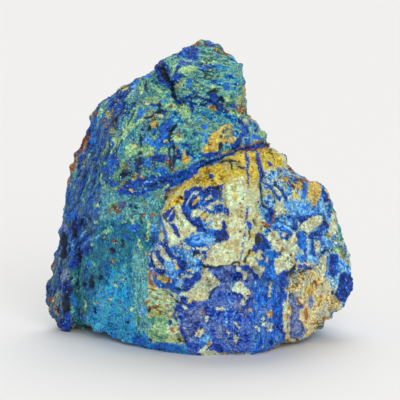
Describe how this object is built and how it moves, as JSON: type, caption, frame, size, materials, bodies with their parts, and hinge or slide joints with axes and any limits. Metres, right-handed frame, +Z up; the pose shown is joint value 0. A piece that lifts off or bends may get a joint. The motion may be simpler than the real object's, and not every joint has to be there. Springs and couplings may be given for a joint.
{
  "type": "azurite specimen",
  "caption": "Broken hand specimen of ochre rock crusted with blue azurite and green malachite, with a sloping shoulder, a blunt peak and a flat base to stand on.",
  "frame": {"origin": "centre of the bounding box on the surface that the stone stands on", "axes": "+Z up; the stone's best face, with the ochre slab, looks along -Y; +X runs to the right of that face"},
  "size_m": [0.0799, 0.0541, 0.077],
  "materials": {
    "azurite_rock": "rough broken rock, granular, mostly matt, with fine glints"
  },
  "bodies": {
    "root": {"azurite_specimen": "azurite_rock"}
  },
  "joints": []
}
